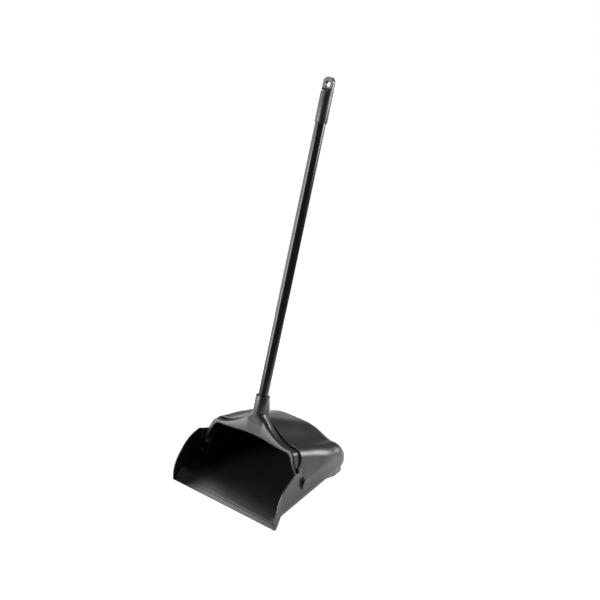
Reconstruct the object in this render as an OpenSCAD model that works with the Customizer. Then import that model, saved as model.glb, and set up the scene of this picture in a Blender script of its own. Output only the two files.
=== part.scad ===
// Upright lobby dustpan: a hooded pan on two rear wheels, carried by a yoke on a long handle.
// The origin lies on the floor, on the middle plane, right under the axis that the yoke swings on.
// +X is to the right, +Y to the rear and +Z up. The yoke is drawn leaning back on its stop.

/* [Pan] */
// Width across the front lip
lip_w = 324; // [300:1:350]
// How far the lip corners flare out past the body, each side
lip_flare = 4; // [2:0.5:8]
// Length over which the square lip corner turns into the rounded body
flare_len = 38; // [28:1:50]
// Depth of the bevelled strip along the lip
lip_bevel = 14; // [8:1:20]
// Thickness left at the lip's edge
lip_edge_t = 0.9; // [0.6:0.1:1.6]
// Pivot axis to the lip, along the floor
lip_reach = 118; // [110:1:126]
// Pivot axis to the rear wall
rear_reach = 194; // [184:1:204]
// Wall of the moulding
wall_t = 3; // [2.4:0.1:3.6]
// Radius between the floor and the side walls
floor_corner_r = 33; // [26:1:38]
// Radius between the floor and the rear wall
rear_floor_r = 24; // [20:1:26]
// Radius of the rear corners, seen from above
rear_corner_r = 40; // [32:1:48]
// Radius between the rear wall and the top of the hood
rear_top_r = 34; // [26:1:35]

/* [Cheeks and hood] */
// Height of the top corner of the cheeks
cheek_h = 102; // [96:1:108]
// Top corner of the cheeks ahead of the pivot axis
cheek_set = 19; // [15:1:24]
// Height at which the hood's side walls start to lean in
tuck_h = 60; // [54:1:66]
// How far the hood's side walls lean in, in degrees
tuck_a = 22; // [16:1:26]
// Length of the step from the upright cheek to the leaning wall
tuck_run = 18; // [12:1:24]
// Radius of the hood's shoulders
shoulder_r = 19; // [14:1:24]
// Radius of the hood's shoulders at the rear
shoulder_rear_r = 36; // [28:1:40]
// Height of the shoulder ledge above the pivot axis
ledge_h = 142; // [136:1:148]
// Height of the shoulder ledge's line at the rear wall
ledge_rear_h = 64; // [60:1:72]
// Height of the hood's crown above the pivot axis
crown_h = 192; // [186:1:200]
// Height of the crown's line at the rear wall
crown_rear_h = 87; // [80:1:98]
// Radius of the notch between the cheek and the hood's rim
rim_notch_r = 28; // [20:1:34]
// Lowest point of that notch
rim_notch_h = 99; // [92:1:101]

/* [Pivot] */
// Height of the pivot axis
pivot_h = 61; // [56:1:66]
// Diameter of the pivot pin's shank
pin_d = 12; // [9:0.5:14]
// Diameter of the pivot pin's head
pin_head_d = 27; // [22:1:30]
// Thickness of the pivot pin's head
pin_head_t = 5; // [3:0.5:7]
// Diameter of the bearing boss in the side wall
boss_d = 32; // [30:1:36]

/* [Yoke] */
// How far the yoke and handle lean back, in degrees
lean = 20; // [16:1:22]
// Depth of the yoke, front to rear
yoke_d = 21.5; // [18:0.5:22]
// Handle axis ahead of the pivot axis
handle_set = 13.4; // [12:0.2:16]
// Underside of the yoke's arch above the pivot
arch_h = 70; // [64:1:74]
// How far the arch falls from its middle to its shoulders
arch_drop = 8; // [5:1:12]
// Radius inside the arch's shoulders
arch_r = 22; // [16:1:26]
// Upper outline of the yoke at its shoulders, above the pivot
yoke_shoulder_h = 69; // [64:1:74]
// Width of the arms at the pivots
arm_t = 9; // [7:0.5:11]
// Extra width of the arms at the shoulders
arm_swell = 4; // [2:0.5:7]
// Web and flange thickness of the yoke
yoke_t = 3.2; // [2.6:0.1:4]
// Diameter of the arm ends
arm_end_d = 25; // [23:0.5:26]
// Where the upright post behind the collar meets the handle's axis, along the handle
post_cross = 160; // [152:1:166]
// How far the foot of that post lies below this point
post_len = 66; // [56:1:72]

/* [Handle] */
// Outside diameter of the handle tube
tube_d = 25; // [22:0.5:28]
// Wall of the handle tube
tube_t = 1.2; // [0.9:0.1:1.6]
// Tube from its lower end to its upper end
tube_len = 780; // [600:1:1000]
// Lower end of the tube above the pivot, along the handle
tube_foot = 108; // [107:1:112]
// Outside diameter of the collar
collar_d = 35; // [32:0.5:38]
// Length of the collar
collar_len = 41; // [34:1:50]
// Lower end of the collar above the pivot, along the handle
collar_foot = 127; // [124:1:132]
// Outside diameter of the grip sleeve
grip_d = 29; // [27:0.5:33]
// Length of the grip sleeve
grip_len = 62; // [50:1:90]
// Length of the hang cap above the grip sleeve
cap_len = 43; // [38:1:52]
// Thickness of the hang cap's tab
tab_t = 10; // [8:0.5:14]
// Diameter of the hang hole
hang_hole_d = 15; // [10:0.5:17]

/* [Rear wheels] */
// Wheel diameter
wheel_d = 32; // [28:1:34]
// Wheel width
wheel_w = 15; // [12:0.5:17]
// Wheel centre ahead of the rear wall
wheel_set = 18; // [16.5:0.5:20]
// Middle of the wheel in from the side wall
wheel_in = 42; // [40:0.5:50]
// Axle diameter
axle_d = 5; // [4:0.5:6]

/* [Wear pads] */
// Length of the wear pads
pad_len = 84; // [70:1:96]
// Width of the wear pads
pad_w = 18; // [14:0.5:18]
// Outer edge of the wear pads in from the side wall
pad_in = 7; // [6:0.5:10]
// Rear end of the wear pads ahead of the rear wall
pad_set = 31; // [28:1:38]
// Length of the ramp at the front of the wear pads
pad_ramp = 54; // [30:1:66]

/* [Hidden] */
$fn = 64;

// Clearances and cuts
overrun = 20;
run_clear = 0.06;
free_clear = 0.6;
seat_clear = 0.2;
press_clear = 0.03;

// Fine radii and steps of the lofted shell
least_r = 0.6;
lip_corner_r = 1.2;
corner_steps = 7;
shoulder_steps = 6;
top_steps = 12;
flare_shares = [0, 0.12, 0.28, 0.5, 0.74, 1];
tuck_shares = [0, 0.25, 0.5, 0.75, 1];
hood_shares = [0.16, 0.34, 0.52, 0.68, 0.84];
rear_step_a = 15;
rear_plateau_share = 0.2;
rear_ledge_share = 0.92;
tuck_keep_share = 0.4;
tuck_rear_share = 0.2;
room_share = 0.46;
arc_step_a = 6;

// Places along the pan
body_w = lip_w - 2 * lip_flare;
lip_y = -lip_reach;
rear_y = rear_reach;
tail_y = rear_y - rear_corner_r;
ledge_fall = (ledge_h - ledge_rear_h) / rear_reach;
crown_fall = (crown_h - crown_rear_h) / rear_reach;

function blend(t) = let (u = min(1, max(0, t))) u * u * (3 - 2 * u);
function mix(a, b, t) = a + (b - a) * t;
function arc(c, r, from_a, to_a) = let (n = max(1, ceil(abs(to_a - from_a) / arc_step_a)))
    [for (i = [0:n]) let (a = mix(from_a, to_a, i / n)) c + r * [cos(a), sin(a)]];
function mirrored(points) = [for (i = [len(points) - 1:-1:0]) [-points[i][0], points[i][1]]];

// How far a rounded end of radius r has drawn in, a distance past its start
function drawn_in(r, past) = r - sqrt(max(0, r * r - pow(max(0, past), 2)));

// Height of the hood's top between the ledge, 0, and the crown, 1, at a share of the half width
function bell(s, y) = let (
    t = blend(y / rear_y),
    p = rear_plateau_share * t,
    q = mix(1, rear_ledge_share, t))
    (1 + cos(180 * min(1, max(0, (s - p) / (q - p))))) / 2;

// Floor level inside, thinned to the lip's edge
function floor_level(y) = mix(lip_edge_t, wall_t, min(1, max(0, (y - lip_y) / lip_bevel)));

// Right half of the cross-section at y, from the middle of the floor to the middle of the top.
// A skin of 0 gives the outside, a skin of wall_t the inside.
function half_section(y, skin) = let (
    flare = blend((y - lip_y) / flare_len),
    side_in = drawn_in(rear_corner_r - skin, y - rear_y + rear_corner_r),
    floor_in = drawn_in(rear_floor_r - skin, y - rear_y + rear_floor_r),
    top_in = drawn_in(rear_top_r - skin, y - rear_y + rear_top_r),
    half = mix(lip_w, body_w, flare) / 2 - skin - side_in,
    base = (skin > 0 ? floor_level(y) : 0) + floor_in,
    ledge = ledge_h - y * ledge_fall - skin - top_in,
    crown = crown_h - y * crown_fall - skin - top_in,
    room = room_share * (ledge - base),
    low_r = min(room, max(least_r, mix(lip_corner_r, floor_corner_r, flare) - skin - floor_in)),
    high_r = min(room, max(least_r, mix(shoulder_r, shoulder_rear_r, blend(y / tail_y)) - skin - top_in)),
    upright = blend((y / tail_y - tuck_keep_share) / (1 - tuck_keep_share)),
    tuck = tuck_a * blend(1 + y / tuck_run) * mix(1, tuck_rear_share, upright),
    high_z = ledge - high_r * (1 - sin(tuck)),
    bend_z = min(tuck_h, (base + low_r + high_z) / 2),
    high_x = half - max(0, high_z - tuck_h) * tan(tuck) - high_r * cos(tuck))
    concat(
        [[0, base]],
        [for (i = [0:corner_steps]) let (a = 90 * i / corner_steps - 90)
            [half - low_r + low_r * cos(a), base + low_r + low_r * sin(a)]],
        [[half, bend_z]],
        [for (i = [0:shoulder_steps]) let (a = mix(tuck, 90, i / shoulder_steps))
            [high_x + high_r * cos(a), ledge - high_r + high_r * sin(a)]],
        [for (i = [1:top_steps]) let (s = 1 - i / top_steps)
            [high_x * s, mix(ledge, crown, bell(s, y))]]);

function ring(y, skin) = let (
    right = half_section(y, skin),
    n = len(right))
    concat(
        [for (p = right) [p[0], y, p[1]]],
        [for (i = [n - 2:-1:1]) [-right[i][0], y, right[i][1]]]);

// Point in the middle of a ring, low enough to see all of it
function hub(ring) = let (side = ring[corner_steps + 2]) [0, side[1], side[2]];

function stations(skin) = concat(
    skin > 0 ? [lip_y - overrun] : [],
    [for (s = flare_shares) lip_y + s * flare_len],
    skin > 0 ? [lip_y + lip_bevel] : [],
    [for (s = tuck_shares) (s - 1) * tuck_run],
    [for (s = hood_shares) s * tail_y],
    [for (a = [0:rear_step_a:90]) tail_y + (rear_corner_r - skin) * sin(a)]);

function sorted(v) = len(v) < 2 ? v : let (m = v[floor(len(v) / 2)])
    concat(sorted([for (x = v) if (x < m) x]), [m], sorted([for (x = v) if (x > m) x]));

// Solid swept through the cross-sections, outside or inside of the shell
module loaf(skin) {
    rings = [for (y = sorted(stations(skin))) ring(y, skin)];
    n = len(rings[0]);
    last = len(rings) - 1;
    front_hub = len(rings) * n;
    rear_hub = front_hub + 1;
    polyhedron(
        points = concat([for (r = rings) each r], [hub(rings[0]), hub(rings[last])]),
        faces = concat(
            [for (i = [0:n - 1]) [front_hub, (i + 1) % n, i]],
            [for (k = [0:last - 1], i = [0:n - 1]) let (j = (i + 1) % n)
                each [[k * n + i, k * n + j, (k + 1) * n + i], [k * n + j, (k + 1) * n + j, (k + 1) * n + i]]],
            [for (i = [0:n - 1]) [rear_hub, last * n + i, last * n + (i + 1) % n]]));
}

// The yoke's own frame: origin on the pivot axis, +Z along the handle
yoke_face_set = 12;
yoke_front = -handle_set - yoke_face_set;
yoke_rear = yoke_front + yoke_d;
rim_gap = 2.5;
rim_set = yoke_rear + rim_gap;
module in_yoke() {
    translate([0, 0, pivot_h]) rotate([-lean, 0, 0]) children();
}
module on_handle(z) {
    in_yoke() translate([0, -handle_set, z]) children();
}
// Turns a profile drawn in the side view, Y across and Z up, into a bar along X
module side_bar(length) {
    rotate([90, 0, 90]) linear_extrude(length, center = true) children();
}
// Turns a profile drawn in the front view, X across and Z up, into a plate from y0 to y1
module front_plate(y0, y1) {
    translate([0, y1, 0]) rotate([90, 0, 0]) linear_extrude(y1 - y0) children();
}
// A shape drawn along +Z stands out along +X at x, or is mirrored to the left
module at_side(side, x) {
    mirror([side < 0 ? 1 : 0, 0, 0]) translate([x, 0, 0]) rotate([0, 90, 0]) children();
}

// Side view of the mouth: what lies in front of the cheeks' edge and the hood's rim
cheek_step_a = 5;
top_h = crown_h + (lip_reach + overrun) * crown_fall + overrun;
function rim_y(z) = rim_set / cos(lean) + (z - pivot_h) * tan(lean);
function mouth_outline() = let (
    first_a = asin(wall_t / cheek_h),
    notch_z = rim_notch_h + rim_notch_r,
    notch = [rim_y(notch_z) - rim_notch_r / cos(lean), notch_z])
    concat(
        [[lip_y - overrun, wall_t]],
        [for (a = [first_a:cheek_step_a:90])
            [-cheek_set - (lip_reach - cheek_set) * cos(a), cheek_h * sin(a)]],
        arc(notch, rim_notch_r, -90, -lean),
        [[rim_y(top_h), top_h], [lip_y - overrun, top_h]]);

// Bearing bosses of the pivot, hollowed inside for the arm ends
boss_out = 1;
boss_in = 1;
pocket_clear = 1.5;
boss_outer_x = body_w / 2 + boss_out;
boss_inner_x = body_w / 2 - wall_t - boss_in;
side_gap = 1.5;
arm_x = boss_inner_x - side_gap;

// Flared neck between the yoke and the collar: round under the collar, wide and flat where it meets the arch
neck_h = 35;
neck_foot = collar_foot - neck_h;
neck_in = 1;
neck_sink = 0.4;
neck_steps = 10;
neck_sides = 40;
neck_square_share = 0.55;
function tent_half(z) = let (rise_share = (z - yoke_shoulder_h) / (collar_foot - yoke_shoulder_h))
    mix(shoulder_at[0], tent_x, pow(rise_share, 1 / tent_power));
function neck_ring(t, grow) = let (
    z = neck_foot + t * neck_h,
    form = blend(t),
    wide = max(collar_d / 2, tent_half(z) - neck_in) + grow,
    deep = mix(yoke_d / 2 - neck_sink, collar_d / 2, form) + grow,
    mid = mix((yoke_front + yoke_rear) / 2, -handle_set, form),
    p = mix(neck_square_share, 1, form))
    [for (i = [0:neck_sides - 1]) let (a = 360 * i / neck_sides)
        [wide * sign(cos(a)) * pow(abs(cos(a)), p), mid + deep * sign(sin(a)) * pow(abs(sin(a)), p), z]];
module neck(grow) {
    n = neck_sides;
    polyhedron(
        points = [for (k = [0:neck_steps]) each neck_ring(k / neck_steps, grow)],
        faces = concat(
            [[for (i = [0:n - 1]) i]],
            [for (k = [0:neck_steps - 1], i = [0:n - 1]) let (j = (i + 1) % n)
                each [[k * n + i, (k + 1) * n + i, k * n + j], [k * n + j, (k + 1) * n + i, (k + 1) * n + j]]],
            [[for (i = [n - 1:-1:0]) neck_steps * n + i]]));
}
post_short = 10;
// Upright post behind the collar, in the yoke's frame. Let out by grow, it is the slot in the hood's rim.
module post(grow) {
    post_h = post_len - post_short + 2 * grow;
    translate([0, -handle_set, post_cross]) rotate([lean, 0, 0]) translate([0, 0, -post_len - grow]) {
        cylinder(d = collar_d + 2 * grow, h = post_h);
        if (grow > 0)
            translate([-collar_d / 2 - grow, -collar_d, 0]) cube([collar_d + 2 * grow, collar_d, post_h]);
    }
}

// Wells that the rear wheels sit in
wheel_gap = 1.5;
wheel_lift = 0.3;
well_wall_t = 2.5;
well_head = 4;
wheel_x = body_w / 2 - wheel_in;
wheel_y = rear_y - wheel_set;
wheel_z = wheel_d / 2 + wheel_lift;
well_w = wheel_w + 2 * wheel_gap;
well_front_y = wheel_y - wheel_d / 2 - well_head;
well_top_z = wheel_d + wheel_lift + well_head;
module well(grow) {
    for (side = [-1, 1])
        translate([side * wheel_x - well_w / 2 - grow, well_front_y - grow, -overrun])
            cube([well_w + 2 * grow, rear_reach, well_top_z + grow + overrun]);
}

module pockets(d) {
    for (side = [-1, 1])
        translate([0, 0, pivot_h]) at_side(side, boss_inner_x - overrun) cylinder(d = d, h = overrun);
}

// Stop bosses inside the cheeks, for the arms when the yoke is swung forward
stop_d = 13;
stop_set = 14;
stop_h = 38;
stop_len = 11;

module pan_shell() color([0.1, 0.1, 0.1]) difference() {
    union() {
        difference() {
            loaf(0);
            loaf(wall_t);
            side_bar(2 * lip_w) polygon(mouth_outline());
            pockets(arm_end_d + 2 * pocket_clear);
        }
        difference() {
            pockets(boss_d);
            pockets(arm_end_d + 2 * pocket_clear);
            loaf(wall_t);
        }
        intersection() {
            loaf(0);
            well(well_wall_t);
        }
        for (side = [-1, 1]) {
            translate([0, 0, pivot_h]) at_side(side, boss_inner_x)
                cylinder(d = boss_d, h = boss_outer_x - boss_inner_x);
            translate([0, -stop_set, stop_h]) at_side(side, body_w / 2 - wall_t / 2 - stop_len)
                cylinder(d = stop_d, h = stop_len);
        }
    }
    well(0);
    for (side = [-1, 1]) {
        translate([0, 0, pivot_h]) at_side(side, boss_inner_x - overrun)
            cylinder(d = pin_d + 2 * run_clear, h = boss_outer_x - boss_inner_x + 2 * overrun);
        translate([0, wheel_y, wheel_z]) at_side(side, wheel_x - well_w)
            cylinder(d = axle_d + 2 * press_clear, h = 2 * well_w);
    }
    in_yoke() post(free_clear);
    in_yoke() neck(free_clear);
    on_handle(collar_foot) cylinder(d = collar_d + 2 * free_clear, h = collar_len);
}

// Wear pads under the rounded rear corners, ramped at the front
pad_x = body_w / 2 - pad_in;
pad_rear_y = rear_y - pad_set;
module wear_pad(side) color([0.16, 0.16, 0.16]) difference() {
    translate([side * (pad_x - pad_w / 2), pad_rear_y, 0]) side_bar(pad_w)
        polygon([[0, 0], [0, overrun], [-pad_len, overrun], [pad_ramp - pad_len, 0]]);
    loaf(0);
}
module wear_pad_left() wear_pad(-1);
module wear_pad_right() wear_pad(1);

// Rear wheels: a rounded tread, a recessed web and a hub on a plain axle
tread_r = 3;
hub_share = 0.42;
rim_share = 0.8;
web_share = 0.45;
module wheel(side) color([0.2, 0.2, 0.2]) translate([0, wheel_y, wheel_z]) at_side(side, wheel_x - wheel_w / 2)
    rotate_extrude() {
        r = wheel_d / 2;
        bore_r = axle_d / 2 + run_clear;
        web_in = wheel_w * (1 - web_share) / 2;
        polygon(concat(
            [[bore_r, 0], [r * hub_share, 0], [r * hub_share, web_in], [r * rim_share, web_in], [r * rim_share, 0]],
            arc([r - tread_r, tread_r], tread_r, -90, 0),
            arc([r - tread_r, wheel_w - tread_r], tread_r, 0, 90),
            [[r * rim_share, wheel_w], [r * rim_share, wheel_w - web_in], [r * hub_share, wheel_w - web_in],
             [r * hub_share, wheel_w], [bore_r, wheel_w]]));
    }
module wheel_left() wheel(-1);
module wheel_right() wheel(1);
module wheel_axle(side) color("silver") translate([0, wheel_y, wheel_z])
    at_side(side, wheel_x - well_w / 2 - well_wall_t)
        cylinder(d = axle_d, h = well_w + 2 * well_wall_t);
module wheel_axle_left() wheel_axle(-1);
module wheel_axle_right() wheel_axle(1);

// Push-on clips of the pivot pins
clip_t = 1.8;
clip_w = 4;
clip_d = pin_d + 2 * clip_w;
clip_gap = 0.2;
clip_x = arm_x - arm_t - clip_gap - clip_t;

// Screw through the collar, from behind
screw_d = 4;
screw_head_d = 8;
screw_head_t = 2.4;
screw_flat = 0.6;
screw_z = collar_foot + collar_len / 2;
screw_seat = collar_d / 2 - screw_flat;

// Yoke: a front web with a flange all round, bored arm ends and a flared neck
yoke_shoulder_r = 14;
tent_power = 1.85;
tent_foot_share = 0.35;
tent_steps = 14;
arch_steps = 8;
arm_bend = 38;
pocket_foot = 30;
rib_t = 2;
rib_sink = 1.5;
rib_short = 1;
rib_shares = [-0.68, -0.5, -0.34, 0.34, 0.5, 0.68];
shoulder_at = [arm_x - yoke_shoulder_r / cos(tuck_a) - (yoke_shoulder_h - yoke_shoulder_r) * tan(tuck_a),
    yoke_shoulder_h - yoke_shoulder_r];
tent_x = collar_d * tent_foot_share;
arm_slope = tan(tuck_a) + arm_swell / arch_h;
arch_a = atan(arm_slope);
arch_low = arch_h - arch_drop;
arch_at = [arm_x - arm_t - (arch_low - arch_r) * arm_slope - arch_r / cos(arch_a), arch_low - arch_r];

// Right half of the yoke's outer edge, drawn in by skin, from the arm's end up to the neck
function yoke_outer(skin) = concat(
    [[arm_x - skin, -arm_end_d / 2], [arm_x - skin, 0]],
    arc(shoulder_at, yoke_shoulder_r - skin, tuck_a, 90),
    [for (i = [1:tent_steps]) let (u = 1 - i / tent_steps)
        [mix(tent_x - skin, shoulder_at[0], u),
         mix(yoke_shoulder_h, collar_foot, pow(1 - u, tent_power)) - skin]]);
// Right half of the arch, let out by skin, from the middle down to the arm's end
function yoke_arch(skin) = concat(
    [for (i = [0:arch_steps - 1]) let (t = (i + 0.5) / arch_steps)
        [arch_at[0] * t, arch_h - arch_drop * (1 - cos(180 * t)) / 2 + skin]],
    arc(arch_at, arch_r + skin, 90, arch_a),
    [[arm_x - arm_t + skin, 0], [arm_x - arm_t + skin, -arm_end_d / 2]]);
function yoke_outline(skin) = concat(
    yoke_outer(skin), mirrored(yoke_outer(skin)), mirrored(yoke_arch(skin)), yoke_arch(skin));
// Angle on the arm's round end at which a straight edge from p meets it
function touch_a(p, turn) = atan2(p[1], p[0]) + turn * acos(arm_end_d / 2 / norm(p));
function arm_outline() = let (
    front = [yoke_front, arm_bend],
    rear = [yoke_rear, arm_bend])
    concat(
        [[yoke_front, collar_foot], front],
        arc([0, 0], arm_end_d / 2, touch_a(front, 1), touch_a(rear, -1) + 360),
        [rear, [yoke_rear, collar_foot]]);

module yoke() color([0.1, 0.1, 0.1]) in_yoke() difference() {
    union() {
        difference() {
            intersection() {
                front_plate(yoke_front - overrun, arm_end_d) polygon(yoke_outline(0));
                side_bar(2 * lip_w) polygon(arm_outline());
            }
            intersection() {
                front_plate(yoke_front + yoke_t, arm_end_d) polygon(yoke_outline(yoke_t));
                translate([-lip_w, -lip_w, pocket_foot]) cube(2 * lip_w);
            }
        }
        neck(0);
        intersection() {
            front_plate(yoke_front + rib_sink, yoke_rear - rib_short) polygon(yoke_outline(rib_sink));
            for (x = rib_shares * arm_x)
                translate([x - rib_t / 2, yoke_front, pocket_foot]) cube([rib_t, arm_end_d, collar_foot]);
        }
        difference() {
            post(0);
            translate([0, -handle_set, collar_foot]) cylinder(d = collar_d + 2 * seat_clear, h = collar_len);
            translate([0, 0, screw_z]) rotate([-90, 0, 0]) cylinder(d = screw_head_d + 2 * free_clear, h = collar_d);
        }
    }
    translate([0, -handle_set, tube_foot]) cylinder(d = tube_d + 2 * seat_clear, h = collar_foot);
    for (side = [-1, 1])
        at_side(side, arm_x - arm_t - overrun) {
            cylinder(d = pin_d + 2 * press_clear, h = arm_t + 2 * overrun);
            cylinder(d = clip_d + 2 * free_clear, h = overrun);
        }
}

// Pivot pins: a broad head outside, a shank through the wall and the arm, a clip on the inside
head_gap = 0.3;
head_edge = 1.2;
dimple_d = 6;
dimple_deep = 1.5;
pin_end = 1.5;
pin_inner_x = clip_x - pin_end;
pin_head_x = boss_outer_x + head_gap;
module pivot_pin(side) color([0.14, 0.14, 0.14]) in_yoke() at_side(side, pin_inner_x) difference() {
    rotate_extrude() polygon([
        [0, 0], [pin_d / 2 - head_edge, 0], [pin_d / 2, head_edge], [pin_d / 2, pin_head_x - pin_inner_x],
        [pin_head_d / 2, pin_head_x - pin_inner_x],
        [pin_head_d / 2, pin_head_x - pin_inner_x + pin_head_t - head_edge],
        [pin_head_d / 2 - head_edge, pin_head_x - pin_inner_x + pin_head_t],
        [0, pin_head_x - pin_inner_x + pin_head_t]]);
    translate([0, 0, pin_head_x - pin_inner_x + pin_head_t - dimple_deep]) cylinder(d = dimple_d, h = overrun);
}
module pivot_pin_left() pivot_pin(-1);
module pivot_pin_right() pivot_pin(1);
module pivot_clip(side) color("silver") in_yoke() at_side(side, clip_x) difference() {
    cylinder(d = clip_d, h = clip_t);
    translate([0, 0, -overrun]) cylinder(d = pin_d + 2 * press_clear, h = 2 * overrun);
}
module pivot_clip_left() pivot_clip(-1);
module pivot_clip_right() pivot_clip(1);

// Handle: tube, collar, plug and screw
collar_edge = 1.5;
plug_len = 70;
module screw_hole(y0, y1) {
    on_handle(screw_z) translate([0, y1, 0]) rotate([90, 0, 0]) cylinder(d = screw_d + 2 * press_clear, h = y1 - y0);
}
module handle_collar() color([0.1, 0.1, 0.1]) difference() {
    on_handle(collar_foot) rotate_extrude() polygon([
        [tube_d / 2 + seat_clear, 0], [collar_d / 2, 0], [collar_d / 2, collar_len - collar_edge],
        [collar_d / 2 - collar_edge, collar_len], [tube_d / 2 + seat_clear, collar_len]]);
    on_handle(screw_z) translate([0, screw_seat + overrun, 0]) rotate([90, 0, 0])
        cylinder(d = screw_head_d + 2 * free_clear, h = overrun);
    screw_hole(0, collar_d);
}
module handle_tube() color([0.08, 0.08, 0.08]) difference() {
    on_handle(tube_foot) difference() {
        cylinder(d = tube_d, h = tube_len);
        translate([0, 0, -overrun]) cylinder(d = tube_d - 2 * tube_t, h = tube_len + 2 * overrun);
    }
    screw_hole(0, collar_d);
}
module tube_plug() color([0.3, 0.3, 0.3]) difference() {
    on_handle(tube_foot) cylinder(d = tube_d - 2 * tube_t - 2 * seat_clear, h = plug_len);
    screw_hole(0, collar_d);
}
module handle_screw() color("silver") on_handle(screw_z) rotate([-90, 0, 0]) {
    cylinder(d = screw_d, h = screw_seat);
    translate([0, 0, screw_seat]) cylinder(d = screw_head_d, h = screw_head_t);
}

// Grip sleeve and hang cap at the top of the handle
tube_top = tube_foot + tube_len;
grip_edge = 1.5;
cap_foot_h = 6;
cap_taper_h = 9;
hang_edge = 9.5;
cap_plug_len = 26;
module grip_sleeve() color([0.1, 0.1, 0.1]) on_handle(tube_top - grip_len) rotate_extrude() polygon([
    [tube_d / 2 + seat_clear, 0], [grip_d / 2 - grip_edge, 0], [grip_d / 2, grip_edge],
    [grip_d / 2, grip_len], [tube_d / 2 + seat_clear, grip_len]]);
module hang_cap() color([0.1, 0.1, 0.1]) on_handle(tube_top) {
    r = grip_d / 2;
    difference() {
        intersection() {
            cylinder(r = r, h = cap_len);
            front_plate(-r, r) polygon(concat([[-r, 0], [r, 0]], arc([0, cap_len - r], r, 0, 180)));
            side_bar(grip_d) polygon([
                [-r, 0], [r, 0], [r, cap_foot_h], [tab_t / 2, cap_foot_h + cap_taper_h], [tab_t / 2, cap_len],
                [-tab_t / 2, cap_len], [-tab_t / 2, cap_foot_h + cap_taper_h], [-r, cap_foot_h]]);
        }
        translate([0, r, cap_len - hang_edge - hang_hole_d / 2]) rotate([90, 0, 0]) cylinder(d = hang_hole_d, h = grip_d);
    }
    translate([0, 0, -cap_plug_len]) cylinder(d = tube_d - 2 * tube_t - 2 * seat_clear, h = cap_plug_len);
}

pan_shell();
wear_pad_left();
wear_pad_right();
wheel_left();
wheel_right();
wheel_axle_left();
wheel_axle_right();
yoke();
pivot_pin_left();
pivot_pin_right();
pivot_clip_left();
pivot_clip_right();
handle_collar();
handle_tube();
tube_plug();
handle_screw();
grip_sleeve();
hang_cap();
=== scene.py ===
"""Looks of an upright lobby dustpan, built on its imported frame.

The pan is a moulded shell lofted from its cross-sections, the yoke a lofted channel, and the handle's
pieces are turned. Sizes are in millimetres, and each mesh is brought to metres when it is finished.
"""

import logging
import math
from collections.abc import Callable, Iterable, Sequence
from dataclasses import dataclass, field
from enum import Enum

import bmesh
import bpy
from mathutils import Matrix, Vector

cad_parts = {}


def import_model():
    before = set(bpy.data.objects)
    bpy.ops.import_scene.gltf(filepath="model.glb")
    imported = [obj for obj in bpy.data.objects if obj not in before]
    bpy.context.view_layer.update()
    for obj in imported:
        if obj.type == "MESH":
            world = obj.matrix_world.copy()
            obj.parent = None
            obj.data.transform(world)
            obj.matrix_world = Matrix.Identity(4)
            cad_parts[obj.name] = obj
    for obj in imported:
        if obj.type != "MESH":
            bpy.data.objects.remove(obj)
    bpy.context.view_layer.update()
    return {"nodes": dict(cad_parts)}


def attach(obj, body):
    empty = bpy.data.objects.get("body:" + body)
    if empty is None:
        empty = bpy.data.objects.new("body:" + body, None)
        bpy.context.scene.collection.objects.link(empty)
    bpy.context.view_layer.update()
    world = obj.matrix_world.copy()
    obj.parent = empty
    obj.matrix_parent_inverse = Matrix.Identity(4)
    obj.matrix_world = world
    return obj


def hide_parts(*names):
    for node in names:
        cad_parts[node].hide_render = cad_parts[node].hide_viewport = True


LOG = logging.getLogger("lobby_dustpan")
METRE = 0.001  # metres to a millimetre
MERGE = 0.004  # vertices closer than this are merged
TINY = 1e-6  # keeps a divisor above nought
OVER = 20.0  # how far a cutter reaches past what it cuts
HALVINGS = 50  # steps of a search by halving
RING = 72  # points round a lofted ring
Point = tuple[float, float]
Triple = tuple[float, float, float]
Vert = bmesh.types.BMVert
Edge = bmesh.types.BMEdge


class Body(Enum):
    """Bodies that the pieces ride on."""

    PAN = "pan"
    LEFT_WHEEL = "left_wheel"
    RIGHT_WHEEL = "right_wheel"
    YOKE = "yoke"


class Side(Enum):
    """The two mirrored sides of the dustpan."""

    LEFT = -1
    RIGHT = 1

    @property
    def word(self) -> str:
        """The side's name as the nodes spell it."""
        return self.name.lower()


class Cut(Enum):
    """How one solid works on another."""

    TAKE = "DIFFERENCE"
    JOIN = "UNION"
    KEEP = "INTERSECT"


def blend(t: float) -> float:
    """Smooth step from 0 to 1."""
    u = min(1.0, max(0.0, t))
    return u * u * (3 - 2 * u)


def mix(a: float, b: float, t: float) -> float:
    """Value a share t of the way from a to b."""
    return a + (b - a) * t


def arc(centre: Point, radius: float, start: float, end: float, steps: int) -> list[Point]:
    """Points along an arc.

    Args:
        centre: middle of the arc.
        radius: its radius.
        start: first angle, in degrees.
        end: last angle, in degrees.
        steps: number of steps between them.

    Returns:
        The points, both ends included.
    """
    turns = [math.radians(mix(start, end, i / steps)) for i in range(steps + 1)]
    return [(centre[0] + radius * math.cos(a), centre[1] + radius * math.sin(a)) for a in turns]


def spread(a: Point, b: Point, steps: int) -> list[Point]:
    """Evenly spaced points from a up to, but without, b."""
    return [(mix(a[0], b[0], i / steps), mix(a[1], b[1], i / steps)) for i in range(steps)]


def rod(radius: float, near: float, far: float) -> list[Point]:
    """Profile of a plain rod, to turn about its axis."""
    return [(0, near), (radius, near), (radius, far), (0, far)]


def turn_x(degrees: float) -> Matrix:
    """A turn about X."""
    return Matrix.Rotation(math.radians(degrees), 4, "X")


def put(name: str, data: bpy.types.ID) -> bpy.types.Object:
    """Adds an object with the given mesh, lamp or camera to the scene."""
    made = bpy.data.objects.new(name, data)
    bpy.context.scene.collection.objects.link(made)
    return made


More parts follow.
